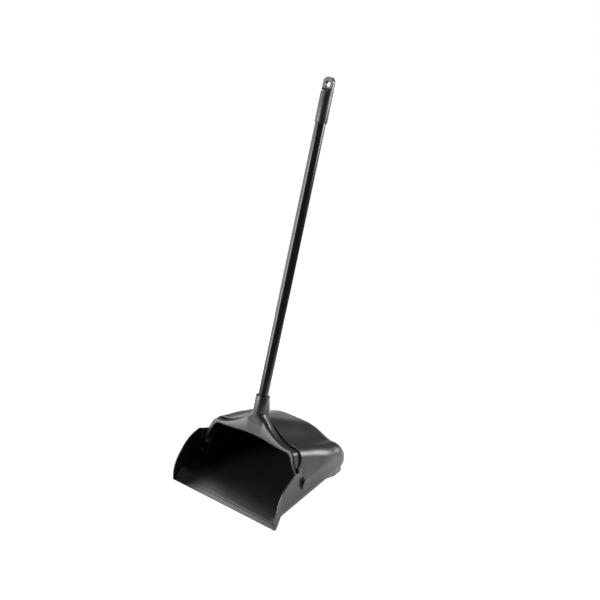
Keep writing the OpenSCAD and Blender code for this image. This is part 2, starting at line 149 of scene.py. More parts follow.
class Value:
    """A socket on its way through a material, with the arithmetic of plain numbers."""

    def __init__(self, recipe: "Recipe", socket: bpy.types.NodeSocket) -> None:
        """Keeps the socket and the recipe that it belongs to."""
        self.recipe = recipe
        self.socket = socket

    def _maths(self, operation: str, first: "Value | float", second: "Value | float") -> "Value":
        """Adds one Math node."""
        return self.recipe.node("ShaderNodeMath", {"operation": operation}, {0: first, 1: second})

    def __add__(self, other: "Value | float") -> "Value":
        """Sum."""
        return self._maths("ADD", self, other)

    __radd__ = __add__

    def __sub__(self, other: "Value | float") -> "Value":
        """Difference."""
        return self._maths("SUBTRACT", self, other)

    def __rsub__(self, other: float) -> "Value":
        """Difference from a number."""
        return self._maths("SUBTRACT", other, self)

    def __mul__(self, other: "Value | float") -> "Value":
        """Product."""
        return self._maths("MULTIPLY", self, other)

    __rmul__ = __mul__

    def held(self) -> "Value":
        """The value held between 0 and 1."""
        return self.recipe.node("ShaderNodeClamp", {}, {"Value": self})

    def between(self, low: float, high: float) -> "Value":
        """Share of the way from low to high, held between 0 and 1."""
        return ((self - low) * (1.0 / (high - low))).held()


class Recipe:
    """Nodes of one material or of the world."""

    def __init__(self, tree: bpy.types.NodeTree) -> None:
        """Starts from an empty tree."""
        self.tree = tree
        tree.nodes.clear()

    def node(
        self,
        kind: str,
        settings: dict[str, object] | None = None,
        sockets: "dict[str | int, object] | None" = None,
        output: str | int = 0,
    ) -> Value:
        """Adds a node.

        Args:
            kind: the node's type.
            settings: its properties, or the stops of a ramp.
            sockets: values and links of its inputs.
            output: which output is passed on.

        Returns:
            The chosen output.
        """
        made = self.tree.nodes.new(kind)
        for key, setting in (settings or {}).items():
            if key == "stops":
                ramp = made.color_ramp
                for place, level in setting[2:]:
                    ramp.elements.new(place)
                for element, (place, level) in zip(ramp.elements, sorted(setting)):
                    element.position = place
                    element.color = (level, level, level, 1.0)
            else:
                setattr(made, key, setting)
        for key, given in (sockets or {}).items():
            if isinstance(given, Value):
                self.tree.links.new(given.socket, made.inputs[key])
            else:
                made.inputs[key].default_value = given
        return Value(self, made.outputs[output] if len(made.outputs) else None)

    def place(self) -> Value:
        """Position on the piece, in metres of the shared frame."""
        return self.node("ShaderNodeTexCoord", output="Object")

    def height(self) -> Value:
        """Height above the floor."""
        return self.node("ShaderNodeSeparateXYZ", {}, {0: self.place()}, "Z")

    def noise(self, scale: float, detail: float = 2.0, stretch: Triple = (1, 1, 1)) -> Value:
        """Cloudy noise from 0 to 1, with about scale features to the metre."""
        where = self.node("ShaderNodeMapping", {}, {"Vector": self.place(), "Scale": stretch})
        return self.node("ShaderNodeTexNoise", {}, {"Vector": where, "Scale": scale, "Detail": detail})

    def tint(self, share: Value, dark: Sequence[float], light: Sequence[float]) -> Value:
        """Colour that goes from dark to light by a share."""
        return self.node(
            "ShaderNodeMix", {"data_type": "RGBA"}, {0: share, 6: (*dark, 1), 7: (*light, 1)}, 2)

    def bump(self, height: Value, depth: float, strength: float) -> Value:
        """Surface relief of a depth in metres."""
        return self.node("ShaderNodeBump", {}, {"Height": height, "Distance": depth, "Strength": strength})


@dataclass(frozen=True)
class Finish:
    """A finish: the name of its material and the slot that it fills."""

    name: str
    slot: str

    def sockets(self, mill: Recipe) -> dict[str, object]:
        """Inputs of the shader, which each kind of finish works out in its own way."""
        raise NotImplementedError

    def material(self) -> bpy.types.Material:
        """Builds the material, or returns it where it exists."""
        known = bpy.data.materials.get(self.name)
        if known:
            return known
        made = bpy.data.materials.new(self.name)
        made.use_nodes = True
        mill = Recipe(made.node_tree)
        shader = mill.node("ShaderNodeBsdfPrincipled", {}, self.sockets(mill))
        mill.node("ShaderNodeOutputMaterial", {}, {"Surface": shader})
        return made


@dataclass(frozen=True)
class MouldedPlastic(Finish):
    """Satin moulded plastic with a fine grain, dull patches, and streaks near the floor that are scuffs and,
    in their lighter tone, also painted sheen.
    """

    tone: Triple = (0.008, 0.008, 0.0085)
    rough: float = 0.36
    grain: float = 0.14
    grain_scale: float = 1500.0
    scuff_and_sheen: float = 0.5
    scuff_and_sheen_top: float = 0.05
    specular: float = 0.7
    cloud_scale: float = 14.0
    streak_scale: float = 70.0
    streak_shape: Triple = (1.0, 14.0, 14.0)
    streak_range: Point = (0.58, 0.74)
    cross_scale: float = 55.0
    cross_shape: Triple = (11.0, 1.0, 11.0)
    cross_range: Point = (0.6, 0.76)
    cloud_range: Point = (0.3, 0.75)
    scuff_and_sheen_gain: float = 3.2
    scuff_and_sheen_lift: float = 0.03
    faded_gain: float = 1.5
    grain_deep: float = 0.0003

    def sockets(self, mill: Recipe) -> dict[str, object]:
        """Clouded tone, lighter in streaks near the floor as scuffs and as painted sheen, with the grain as
        relief.
        """
        cloud = mill.noise(self.cloud_scale, 3.0)
        fine = mill.noise(self.grain_scale, 2.0)
        streak = mill.noise(self.streak_scale, 4.0, self.streak_shape).between(*self.streak_range)
        cross = mill.noise(self.cross_scale, 4.0, self.cross_shape).between(*self.cross_range)
        # Streaks low on the piece: scuffs that roughen and raise the surface, and a lighter tone that is
        # partly scuff wear and partly painted sheen.
        low = 1.0 - mill.height().between(0.0, self.scuff_and_sheen_top)
        scuff_and_sheen_mask = ((streak + cross).held() * low * self.scuff_and_sheen).held()
        # The lighter tone of the streaks: scuff wear and painted sheen.
        light = tuple(min(1.0, self.scuff_and_sheen_gain * c + self.scuff_and_sheen_lift) for c in self.tone)
        faded = tuple(self.faded_gain * c for c in self.tone)
        base = mill.tint(cloud.between(*self.cloud_range), self.tone, faded)
        base = mill.node("ShaderNodeMix", {"data_type": "RGBA"}, {0: scuff_and_sheen_mask * 0.6, 6: base, 7: (*light, 1)}, 2)
        rough = self.rough + 0.1 * (cloud - 0.5) + 0.06 * (fine - 0.5) + 0.22 * scuff_and_sheen_mask
        relief = mill.bump(fine + 0.6 * scuff_and_sheen_mask, self.grain_deep, self.grain)
        return {
            "Base Color": base, "Roughness": rough, "Normal": relief, "IOR": 1.5,
            "Specular IOR Level": self.specular}


@dataclass(frozen=True)
class CoatedTube(Finish):
    """Glossy black coating on a drawn tube, with faint draw lines and handling marks."""

    tone: Triple = (0.004, 0.004, 0.0045)
    rough: float = 0.2
    lean: float = 20.0
    drawn_scale: float = 900.0
    drawn_shape: Triple = (1.0, 1.0, 0.02)
    drawn_deep: float = 0.00008
    cloud_scale: float = 22.0
    mark_scale: float = 240.0
    mark_shape: Triple = (1.0, 1.0, 0.12)
    mark_range: Point = (0.62, 0.78)
    mark_gain: float = 2.4

    def sockets(self, mill: Recipe) -> dict[str, object]:
        """Dark tone and gloss that vary along the tube, with the draw lines as relief."""
        turned = mill.node("ShaderNodeMapping", {}, {
            "Vector": mill.place(), "Rotation": (math.radians(self.lean), 0, 0), "Scale": self.drawn_shape})
        drawn = mill.node("ShaderNodeTexNoise", {}, {
            "Vector": turned, "Scale": self.drawn_scale, "Detail": 3.0})
        cloud = mill.noise(self.cloud_scale, 3.0)
        mark = mill.noise(self.mark_scale, 4.0, self.mark_shape).between(*self.mark_range)
        marked = tuple(self.mark_gain * c for c in self.tone)
        base = mill.tint((0.4 * cloud + 0.3 * mark).held(), self.tone, marked)
        rough = self.rough + 0.1 * (cloud - 0.5) + 0.05 * (drawn - 0.5) + 0.1 * mark
        relief = mill.bump(drawn, self.drawn_deep, 0.25)
        return {"Base Color": base, "Roughness": rough, "Normal": relief, "IOR": 1.5}


@dataclass(frozen=True)
class PlatedSteel(Finish):
    """Zinc plated steel with turning lines and dull spots."""

    tone: Triple = (0.55, 0.56, 0.58)
    rough: float = 0.34
    turned_scale: float = 500.0
    turned_shape: Triple = (8.0, 1.0, 1.0)
    turned_deep: float = 0.0001
    spot_scale: float = 260.0
    spot_range: Point = (0.5, 0.7)
    spot_gain: float = 0.62

    def sockets(self, mill: Recipe) -> dict[str, object]:
        """Bare metal, darker and duller in spots, with the turning lines as relief."""
        turned = mill.noise(self.turned_scale, 3.0, self.turned_shape)
        spots = mill.noise(self.spot_scale, 4.0).between(*self.spot_range)
        base = mill.tint(spots, self.tone, tuple(self.spot_gain * c for c in self.tone))
        rough = self.rough + 0.12 * (turned - 0.5) + 0.18 * spots
        relief = mill.bump(turned, self.turned_deep, 0.2)
        return {"Base Color": base, "Roughness": rough, "Metallic": 1.0, "Normal": relief}


@dataclass(frozen=True)
class Finishes:
    """The dustpan's finishes."""

    pan: MouldedPlastic = MouldedPlastic("pan_moulding", "pan_plastic")
    yoke: MouldedPlastic = MouldedPlastic("yoke_moulding", "yoke_plastic", rough=0.34, scuff_and_sheen=0.0)
    collar: MouldedPlastic = MouldedPlastic("collar_moulding", "yoke_plastic", rough=0.32, scuff_and_sheen=0.0)
    pin: MouldedPlastic = MouldedPlastic("pin_moulding", "pin_plastic", (0.022, 0.022, 0.023), 0.4, scuff_and_sheen=0.0)
    pad: MouldedPlastic = MouldedPlastic(
        "pad_moulding", "pad_plastic", (0.1, 0.1, 0.102), 0.5, 0.2, 1100.0, 0.8, 0.012)
    wheel: MouldedPlastic = MouldedPlastic(
        "wheel_moulding", "wheel_plastic", (0.045, 0.045, 0.046), 0.5, 0.16, 1200.0, 0.6, 0.03)
    plug: MouldedPlastic = MouldedPlastic("plug_moulding", "plug_plastic", (0.1, 0.1, 0.1), 0.5, scuff_and_sheen=0.0)
    grip: MouldedPlastic = MouldedPlastic("grip_moulding", "grip_plastic", rough=0.38, grain=0.2, scuff_and_sheen=0.0)
    tube: CoatedTube = CoatedTube("tube_coating", "handle_metal")
    steel: PlatedSteel = PlatedSteel("plated_steel", "steel")


class Work:
    """A mesh in the making, in millimetres of the shared frame."""

    def __init__(self) -> None:
        """Starts empty."""
        self.bm = bmesh.new()

    def chain(self, points: Iterable[Sequence[float]], closed: bool = False) -> list[Vert]:
        """Adds a chain of edges.

        Args:
            points: the points along it.
            closed: whether the last point joins the first.

        Returns:
            The chain's vertices.
        """
        verts = [self.bm.verts.new(Vector(p)) for p in points]
        ends = zip(verts, verts[1:] + verts[:1] if closed else verts[1:])
        for a, b in ends:
            self.bm.edges.new((a, b))
        return verts

    def edges_of(self, verts: Sequence[Vert], closed: bool = False) -> list[Edge]:
        """Edges that join a row of vertices."""
        following = list(verts[1:]) + (list(verts[:1]) if closed else [])
        return [self.bm.edges.get((a, b)) for a, b in zip(verts, following)]

    def loft(self, rows: Iterable[Sequence[Sequence[float]]], closed: bool = False) -> list[list[Vert]]:
        """Bridges row after row of points into a skin.

        Args:
            rows: the rows, each with the same number of points.
            closed: whether each row is a loop.

        Returns:
            The vertices of each row.
        """
        made: list[list[Vert]] = []
        for row in rows:
            verts = self.chain(row, closed)
            if made:
                bmesh.ops.bridge_loops(
                    self.bm, edges=self.edges_of(made[-1], closed) + self.edges_of(verts, closed))
            made.append(verts)
        return made

    def solid(self, rows: Iterable[Sequence[Sequence[float]]]) -> "Work":
        """Bridges loops of points into a skin and closes its two ends."""
        made = self.loft(rows, closed=True)
        for end in (made[0], made[-1]):
            self.bm.faces.new(end)
        self.face_out()
        return self

    def turn(self, profile: Sequence[Point], steps: int = 96, ring: bool = False) -> "Work":
        """Spins a profile of radius and height about Z.

        Args:
            profile: radius and height of its points, on the axis at both ends unless it is a ring.
            steps: steps of the full turn.
            ring: whether the profile is a closed loop off the axis.

        Returns:
            This mesh.
        """
        verts = self.chain([(r, 0.0, z) for r, z in profile], ring)
        bmesh.ops.spin(
            self.bm, geom=verts + self.edges_of(verts, ring), cent=(0, 0, 0), axis=(0, 0, 1),
            angle=2 * math.pi, steps=steps, use_merge=True, use_duplicate=False)
        bmesh.ops.remove_doubles(self.bm, verts=self.bm.verts[:], dist=0.001)
        self.face_out()
        return self

    def round_off(self, edges: list[Edge], offset: float, segments: int) -> None:
        """Rounds edges off."""
        bmesh.ops.bevel(
            self.bm, geom=edges, offset=offset, affect="EDGES", segments=segments, profile=0.5, material=-1)

    def box(self, low: Sequence[float], high: Sequence[float], edge: float = 0.0) -> "Work":
        """Adds a box, its edges rounded where a radius is given."""
        size = Vector(high) - Vector(low)
        middle = (Vector(high) + Vector(low)) / 2
        made = bmesh.ops.create_cube(self.bm, size=1.0)["verts"]
        bmesh.ops.scale(self.bm, vec=size, verts=made)
        bmesh.ops.translate(self.bm, vec=middle, verts=made)
        if edge:
            self.round_off(list({e for v in made for e in v.link_edges}), edge, 3)
        return self

    def face_out(self) -> None:
        """Turns every face outwards."""
        bmesh.ops.recalc_face_normals(self.bm, faces=self.bm.faces[:])

    def move(self, matrix: Matrix) -> "Work":
        """Moves the whole mesh."""
        bmesh.ops.transform(self.bm, matrix=matrix, verts=self.bm.verts[:])
        if matrix.determinant() < 0:
            self.face_out()
        return self

    def mirrored(self) -> None:
        """Mirrors the mesh in the middle plane and merges the seam."""
        bmesh.ops.mirror(
            self.bm, geom=self.bm.verts[:] + self.bm.edges[:] + self.bm.faces[:],
            matrix=Matrix.Identity(4), merge_dist=0.002, axis="X")

    def work_on(self, tool: "Work", cut: Cut) -> "Work":
        """Cuts, joins or keeps this mesh by another closed one, which is used up.

        Args:
            tool: the other mesh.
            cut: what is done.

        Returns:
            This mesh.
        """
        shapes = [_scratch_object(w) for w in (self, tool)]
        modifier = shapes[0].modifiers.new("cut", "BOOLEAN")
        modifier.operation = cut.value
        modifier.solver = "MANIFOLD"
        modifier.object = shapes[1]
        graph = bpy.context.evaluated_depsgraph_get()
        result = bpy.data.meshes.new_from_object(shapes[0].evaluated_get(graph))
        self.bm = bmesh.new()
        self.bm.from_mesh(result)
        bpy.data.meshes.remove(result)
        for shape in shapes:
            mesh = shape.data
            bpy.data.objects.remove(shape)
            bpy.data.meshes.remove(mesh)
        if not self.bm.faces:
            raise ValueError(f"nothing is left of a mesh after {cut.name}")
        return self

    def copy(self) -> "Work":
        """A second mesh of the same shape."""
        other = Work()
        other.bm.free()
        other.bm = self.bm.copy()
        return other


def _scratch_object(work: Work) -> bpy.types.Object:
    """Puts a mesh into a passing object for a modifier."""
    mesh = bpy.data.meshes.new("scratch")
    work.bm.to_mesh(mesh)
    work.bm.free()
    return put("scratch", mesh)


@dataclass
class Piece:
    """A finished piece: its name, what it stands for and what it rides on."""

    name: str
    body: Body
    finish: Finish
    nodes: tuple[str, ...]
    smooth: float = 35.0
    rounding: float = 0.0
    segments: int = 2

    def place(self, work: Work) -> bpy.types.Object:
        """Finishes a mesh as an object of the scene.

        Args:
            work: the mesh, in millimetres.

        Returns:
            The object.
        """
        bm = work.bm
        bmesh.ops.remove_doubles(bm, verts=bm.verts[:], dist=MERGE)
        bmesh.ops.dissolve_verts(bm, verts=[v for v in bm.verts if len(v.link_edges) == 2])
        bmesh.ops.triangulate(bm, faces=[f for f in bm.faces if len(f.verts) > 4])
        bmesh.ops.dissolve_degenerate(bm, dist=MERGE, edges=bm.edges[:])
        bmesh.ops.scale(bm, vec=(METRE, METRE, METRE), verts=bm.verts[:])
        for face in bm.faces:
            face.smooth = True
        mesh = bpy.data.meshes.new(self.name)
        bm.to_mesh(mesh)
        bm.free()
        mesh.set_sharp_from_angle(angle=math.radians(self.smooth))
        mesh.materials.append(self.finish.material())
        made = put(self.name, mesh)
        if self.rounding:
            edge = made.modifiers.new("rounding", "BEVEL")
            edge.width = self.rounding * METRE
            edge.segments = self.segments
            edge.limit_method = "ANGLE"
            edge.angle_limit = math.radians(self.smooth)
            edge.harden_normals = False
        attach(made, self.body.value)
        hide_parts(*self.nodes)
        LOG.info("piece %s: %d faces, rides on %s", self.name, len(mesh.polygons), self.body.value)
        return made


@dataclass
class Pan:
    """The moulded pan: floor with a bevelled lip, cheeks, bell-shaped hood, bosses and wheel wells."""

    lip_w: float = 324.0
    lip_flare: float = 4.0
    flare_len: float = 38.0
    lip_bevel: float = 14.0
    lip_edge_t: float = 0.9
    lip_reach: float = 118.0
    rear_reach: float = 194.0
    wall_t: float = 3.0
    lip_corner_r: float = 1.2
    floor_corner_r: float = 33.0
    rear_floor_r: float = 24.0
    rear_corner_r: float = 40.0
    rear_top_r: float = 34.0
    cheek_h: float = 102.0
    cheek_set: float = 19.0
    tuck_h: float = 60.0
    tuck_a: float = 22.0
    tuck_run: float = 18.0
    tuck_soft: float = 9.0
    shoulder_r: float = 30.0
    shoulder_rear_r: float = 40.0
    ledge_h: float = 142.0
    ledge_rear_h: float = 64.0
    crown_h: float = 186.0
    crown_rear_h: float = 89.0
    flank_full: float = 0.7
    rim_notch_r: float = 28.0
    rim_notch_h: float = 99.0
    rim_set: float = -1.4
    pivot_h: float = 61.0
    lean: float = 20.0
    boss_d: float = 32.0
    boss_inner_x: float = 154.0
    boss_outer_x: float = 159.0
    pin_bore_d: float = 12.12
    arm_room_d: float = 28.0
    stop_d: float = 13.0
    stop_set: float = 14.0
    stop_h: float = 38.0
    stop_inner_x: float = 145.5
    stop_outer_x: float = 156.5
    rim_edge: float = 0.42
    groove_w: float = 0.9
    groove_deep: float = 0.45
    steps_floor: int = 12
    steps_corner: int = 9
    steps_cheek: int = 30
    steps_notch: int = 14
    steps_rim: int = 8
    steps_shoulder: int = 10
    steps_top: int = 26
    steps_run: int = 40
    steps_rear: int = 14
    front_runs: tuple[float, ...] = (0.0, 0.7, 1.8, 3.4, 5.4, 8.0, 11.0)
    floor_power: float = 1.6
    cheek_power: float = 1.15
    run_power: float = 1.12
    run_ease: float = 5.0
    fan_from: float = 0.45
    fan_gap: float = 0.012
    fan_step: float = 0.006
    rim_search: Point = (-20.0, 120.0)
    loaf_stops: int = 46
    loaf_steps: tuple[int, ...] = (6, 9, 12, 9, 14)
    loaf_places: tuple[float, ...] = (0.0, 1.0, 2.0, 4.0, 5.0, 6.0)
    least_r: float = 0.6
    room_share: float = 0.46
    plateau_share: float = 0.08
    ledge_share: float = 0.95
    tuck_keep: float = 0.4
    tuck_rear: float = 0.2
    rear_border: float = 3.0
    stop_edge: float = 1.2
    boss_edge: float = 0.8
    skirt_len: float = 12.0
    skirt_lap: float = 0.5
    skirt_share: float = 0.9
    skirt_lead: float = 20.0

    @property
    def lip_y(self) -> float:
        """Place of the lip along the pan."""
        return -self.lip_reach

    @property
    def tail_y(self) -> float:
        """Where the rear corners start."""
        return self.rear_reach - self.rear_corner_r

    @staticmethod
    def drawn_in(radius: float, past: float) -> float:
        """How far a rounded end has drawn in, a distance past its start."""
        return radius - math.sqrt(max(0.0, radius * radius - max(0.0, past) ** 2))

    def lean_in(self, rise: float) -> float:
        """Height that counts for the leaning wall, eased in over the bend."""
        soft = self.tuck_soft
        if abs(rise) < soft:
            return (rise + soft) ** 2 / (4 * soft)
        return max(0.0, rise)

    def floor_level(self, y: float) -> float:
        """Level of the floor inside, thinned to the lip's edge, with the fine groove behind the bevel."""
        share = min(1.0, max(0.0, (y - self.lip_y) / self.lip_bevel))
        dip = max(0.0, 1 - abs(y - self.lip_y - self.lip_bevel) / self.groove_w)
        return mix(self.lip_edge_t, self.wall_t, share) - self.groove_deep * dip

    def bell(self, s: float, y: float) -> float:
        """Share of the rise from the ledge to the crown at a share of the half width."""
        t = blend(y / self.rear_reach)
        p = self.plateau_share * t
        q = mix(1.0, self.ledge_share, t)
        fall = min(1.0, max(0.0, (s - p) / (q - p))) ** (1 + self.flank_full * t)
        return (1 + math.cos(math.pi * fall)) / 2

    def at(self, y: float, k: float, skin: float) -> Vector:
        """Point of the right half of a cross-section.

        Args:
            y: place along the pan.
            k: place along the section: floor to 1, corner to 2, wall to 4, shoulder to 5, top to 6.
            skin: depth in the wall, 0 for the outside.

        Returns:
            The point.
        """
        rear = self.rear_reach
        flare = blend((y - self.lip_y) / self.flare_len)
        rounds = (self.rear_corner_r, self.rear_floor_r, self.rear_top_r)
        side_in, floor_in, top_in = (self.drawn_in(r - skin, y - rear + r) for r in rounds)
        half = self.lip_w / 2 - self.lip_flare * flare - skin - side_in
        base = self.floor_level(y) * skin / self.wall_t + floor_in
        ledge = mix(self.ledge_h, self.ledge_rear_h, y / rear) - skin - top_in
        crown = mix(self.crown_h, self.crown_rear_h, y / rear) - skin - top_in
        room = self.room_share * (ledge - base)
        low_r = mix(self.lip_corner_r, self.floor_corner_r, flare)
        low_r = min(room, max(self.least_r, low_r - skin - floor_in))
        high_r = mix(self.shoulder_r, self.shoulder_rear_r, blend(y / self.tail_y))
        high_r = min(room, max(self.least_r, high_r - skin - top_in))
        upright = blend((y / self.tail_y - self.tuck_keep) / (1 - self.tuck_keep))
        tuck = math.radians(self.tuck_a * blend(1 + y / self.tuck_run) * mix(1.0, self.tuck_rear, upright))
        high_z = ledge - high_r * (1 - math.sin(tuck))
        high_x = half - self.lean_in(high_z - self.tuck_h) * math.tan(tuck) - high_r * math.cos(tuck)
        if k <= 1:
            return Vector(((half - low_r) * k, y, base))
        if k <= 2:
            a = math.radians(90 * (k - 1) - 90)
            return Vector((half - low_r + low_r * math.cos(a), y, base + low_r + low_r * math.sin(a)))
        if k <= 4:
            z = mix(base + low_r, high_z, (k - 2) / 2)
            return Vector((half - self.lean_in(z - self.tuck_h) * math.tan(tuck), y, z))
        if k <= 5:
            a = mix(tuck, math.pi / 2, k - 4)
            return Vector((high_x + high_r * math.cos(a), y, ledge - high_r + high_r * math.sin(a)))
        s = 6 - k
        return Vector((high_x * s, y, mix(ledge, crown, self.bell(s, y))))

    def rim_y(self, z: float) -> float:
        """Place of the hood's rim at a height."""
        lean = math.radians(self.lean)
        return self.rim_set / math.cos(lean) + (z - self.pivot_h) * math.tan(lean)

    @staticmethod
    def solve(f: Callable[[float], float], low: float, high: float) -> float:
        """Root of a rising function, by halving."""
        for _ in range(HALVINGS):
            middle = (low + high) / 2
            if f(middle) < 0:
                low = middle
            else:
                high = middle
        return (low + high) / 2

    def mouth(self, skin: float) -> list[Triple]:
        """Edge of the shell, from the middle of the lip to the middle of the hood's rim.

        Args:
            skin: 0 for the outside, the wall for the inside.

        Returns:
            For each line of the shell, where it starts and the section places at its start and its end.
        """
        lip = self.lip_y
        starts: list[Triple] = []
        low = [1 - (1 - i / self.steps_floor) ** self.floor_power for i in range(self.steps_floor)]
        low += [1 + i / self.steps_corner for i in range(self.steps_corner)]
        starts += [(lip, k, k) for k in low]
        outline: list[Point] = [(lip, 1.6)]
        first = math.degrees(math.asin(self.wall_t / self.cheek_h))
        for i in range(self.steps_cheek + 1):
            a = math.radians(mix(first, 90, (i / self.steps_cheek) ** self.cheek_power))
            run = (self.lip_reach - self.cheek_set) * math.cos(a)
            outline.append((-self.cheek_set - run, self.cheek_h * math.sin(a)))
        notch_z = self.rim_notch_h + self.rim_notch_r
        centre = (self.rim_y(notch_z) - self.rim_notch_r / math.cos(math.radians(self.lean)), notch_z)
        corner = len(outline)
        outline += arc(centre, self.rim_notch_r, -90, -self.lean, self.steps_notch)
        places = [self.solve(lambda k, y=y, z=z: self.at(y, k, skin).z - z, 1.0, 6.0) for y, z in outline]
        low_end, high_end = places[corner], places[-1]
        ends = list(places)
        for i in range(corner):
            fall = blend((i / (corner - 1) - self.fan_from) / (1 - self.fan_from))
            ends[i] = places[i] - fall * (places[corner - 1] - low_end + self.fan_gap)
        for i in range(corner, len(ends)):
            ends[i] = max(ends[i], ends[i - 1] + self.fan_step)
        starts += [(y, k, e) for (y, _), k, e in zip(outline, places, ends)]
        last = max(ends[-1], high_end)
        high = [mix(last, 4.0, (i + 1) / self.steps_rim) for i in range(self.steps_rim)]
        high += [4 + (i + 1) / self.steps_shoulder for i in range(self.steps_shoulder)]
        high += [5 + (i + 1) / self.steps_top for i in range(self.steps_top)]
        for k in high:
            y = self.solve(lambda y, k=k: y - self.rim_y(self.at(y, k, skin).z), *self.rim_search)
            starts.append((y, k, k))
        return starts

    def line(self, start: Triple, skin: float) -> list[Vector]:
        """One line of the shell, from its edge to the rear wall.

        Args:
            start: where it starts and its section places.
            skin: 0 for the outside, the wall for the inside.

        Returns:
            The points along it.
        """
        y0, k0, k1 = start
        gaps = (self.lip_bevel - self.groove_w, self.lip_bevel, self.lip_bevel + self.groove_w)
        runs = [y0 + r for r in self.front_runs + gaps]
        shares = [((i + 1) / self.steps_run) ** self.run_power for i in range(self.steps_run)]
        onward = [mix(runs[-1], self.tail_y, share) for share in shares]
        return [
            self.at(y, k1 + (k0 - k1) * math.exp(-(y - y0) / self.run_ease) if y < self.tail_y else k1, skin)
            for y in runs + onward + self.rear_stops(skin)]

    def rear_stops(self, skin: float) -> list[float]:
        """Places along the pan round its rear corners."""
        turns = [math.pi / 2 * (i + 1) / self.steps_rear for i in range(self.steps_rear)]
        return [self.tail_y + (self.rear_corner_r - skin) * math.sin(a) for a in turns]

    def shell(self) -> Work:
        """The closed shell, with its edges eased."""
        work = Work()
        skins = [work.loft([self.line(s, skin) for s in self.mouth(skin)]) for skin in (0.0, self.wall_t)]
        lines = [e for skin in skins for e in work.edges_of([row[0] for row in skin])]
        bmesh.ops.bridge_loops(work.bm, edges=lines)
        rears = [skin[0][-1] for skin in skins]
        work.face_out()
        work.round_off(lines, self.rim_edge, 3)
        work.mirrored()
        for level in [corner.co.y for corner in rears]:
            bounds = [e for e in work.bm.edges if e.is_boundary]
            rim = [e for e in bounds if all(abs(v.co.y - level) < 0.01 for v in e.verts)]
            face = bmesh.ops.contextual_create(work.bm, geom=rim)["faces"]
            bmesh.ops.inset_region(work.bm, faces=face, thickness=self.rear_border, use_even_offset=False)
        work.face_out()
        return work

    def loaf(self, skin: float = 0.0, lead: float = 1.0) -> Work:
        """The space inside a skin of the shell as a closed solid.

        Args:
            skin: how deep in the wall its surface lies.
            lead: how far behind the lip it starts.

        Returns:
            The mesh.
        """
        stops = [mix(self.lip_y + lead, self.tail_y, i / self.loaf_stops) for i in range(self.loaf_stops + 1)]
        stops += self.rear_stops(skin)
        ends = zip(self.loaf_places, self.loaf_places[1:], self.loaf_steps)
        places = [mix(a, b, i / n) for a, b, n in ends for i in range(n)] + [self.loaf_places[-1]]
        rows = []
        for y in stops:
            right = [self.at(y, k, skin) for k in places]
            rows.append(right + [Vector((-p.x, p.y, p.z)) for p in right[-2:0:-1]])
        return Work().solid(rows)

    def side_turned(
        self, side: Side, profile: Sequence[Point], y: float, z: float, steps: int = 72, ring: bool = False,
    ) -> Work:
        """A shape turned about a sideways axis: radius, and distance out from the middle plane.

        Args:
            side: left or right.
            profile: radius and distance of its points.
            y: place of the axis along the pan.
            z: height of the axis.
            steps: steps of the turn.
            ring: whether the profile is a closed loop.

        Returns:
            The mesh.
        """
        out = Matrix(((0, 0, side.value, 0), (0, 1, 0, y), (1, 0, 0, z), (0, 0, 0, 1)))
        return Work().turn(profile, steps, ring).move(out)

    def pivot_rod(self, side: Side, diameter: float, near: float, far: float) -> Work:
        """A plain rod along the pivot's axis."""
        return self.side_turned(side, rod(diameter / 2, near, far), 0, self.pivot_h)

    def boss(self, side: Side) -> list[Work]:
        """The pivot boss of one side: the skirt inside the wall and the eased disc outside it."""
        r, low, high, e = self.boss_d / 2, self.boss_inner_x, self.boss_outer_x, self.boss_edge
        skirt = self.pivot_rod(side, self.boss_d, low - self.skirt_len, low + self.skirt_lap)
        skirt.work_on(self.pivot_rod(side, self.arm_room_d, low - OVER, low), Cut.TAKE)
        skirt.work_on(self.loaf(self.skirt_share * self.wall_t, self.skirt_lead), Cut.TAKE)
        disc = [(0, low), (r, low)] + arc((r - e, high - e), e, 0, 90, 4) + [(0, high)]
        return [skirt, self.side_turned(side, disc, 0, self.pivot_h)]

    def stop(self, side: Side) -> Work:
        """The stop boss inside one cheek."""
        r, near, far, e = self.stop_d / 2, self.stop_inner_x, self.stop_outer_x, self.stop_edge
        profile = [(0, near)] + arc((r - e, near + e), e, -90, 0, 4) + [(r, far), (0, far)]
        return self.side_turned(side, profile, -self.stop_set, self.stop_h)

    def build(self, finishes: Finishes, wells: "RearWheels", slot: list[Work]) -> Work:
        """Builds and places the pan.

        Args:
            finishes: the finishes.
            wells: the rear wheels, whose wells are cut into the pan.
            slot: what the hood's rim makes way for.

        Returns:
            The outside as a solid, for pieces that lie against it.
        """
        shell = self.shell()
        low, high = self.boss_inner_x, self.boss_outer_x
        for side in Side:
            shell.work_on(self.pivot_rod(side, self.arm_room_d, low - OVER, low), Cut.TAKE)
            housing = wells.well(side, wells.well_wall_t).work_on(self.loaf(self.wall_t / 2), Cut.KEEP)
            for added in (housing, *self.boss(side), self.stop(side)):
                shell.work_on(added, Cut.JOIN)
            shell.work_on(wells.well(side, 0.0), Cut.TAKE)
            shell.work_on(self.pivot_rod(side, self.pin_bore_d, low - OVER, high + OVER), Cut.TAKE)
        for tool in slot:
            shell.work_on(tool, Cut.TAKE)
        Piece("pan_moulded_shell", Body.PAN, finishes.pan, ("pan_shell",), 32.0).place(shell)
        return self.loaf()


